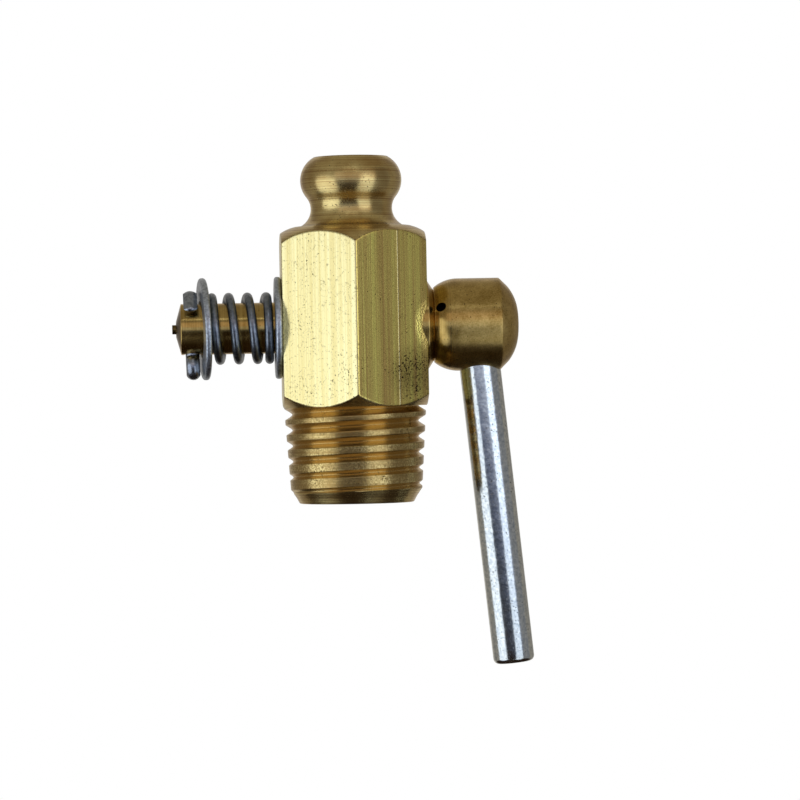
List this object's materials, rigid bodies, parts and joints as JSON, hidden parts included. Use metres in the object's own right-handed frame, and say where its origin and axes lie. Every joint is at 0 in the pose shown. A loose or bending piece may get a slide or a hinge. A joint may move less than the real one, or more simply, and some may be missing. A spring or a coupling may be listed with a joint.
{
  "type": "taper plug drain tap",
  "caption": "Small brass water tap: hexagon body with taper pipe thread and hose end, taper plug held by a spring, washers and a split pin, and turned by a steel lever.",
  "frame": {"origin": "on the axis of the pipe thread, at its lower end face", "axes": "+Z along the water way from the pipe thread up to the hose end, +X along the plug from its sprung tail to its head and lever"},
  "size_m": [0.0321, 0.015, 0.046],
  "materials": {
    "drawn_brass": "drawn hexagon bar, turned ends",
    "turned_brass": "turned, slightly tarnished",
    "zinc_plate": "bright zinc plate on round rod",
    "washer_steel": "stamped, dull",
    "spring_steel": "dark drawn wire",
    "pin_steel": "grey half-round wire"
  },
  "bodies": {
    "body": {"body": "drawn_brass"},
    "spring_seat": {"seat_washer": "washer_steel", "spring": "spring_steel"},
    "plug": {"plug": "turned_brass", "lever": "zinc_plate", "end_washer": "washer_steel", "split_pin": "pin_steel"}
  },
  "joints": [
    {"name": "plug_turn", "type": "hinge", "parent": "body", "child": "spring_seat", "pos_m": [0, 0, 0.0159], "axis": [1, 0, 0], "continuous": true},
    {"name": "plug_lift", "type": "slide", "parent": "spring_seat", "child": "plug", "axis": [1, 0, 0], "range_m": [0, 0.0012], "stiffness_N_per_m": 1000, "springref_m": -0.001, "deforming": ["spring"]}
  ]
}
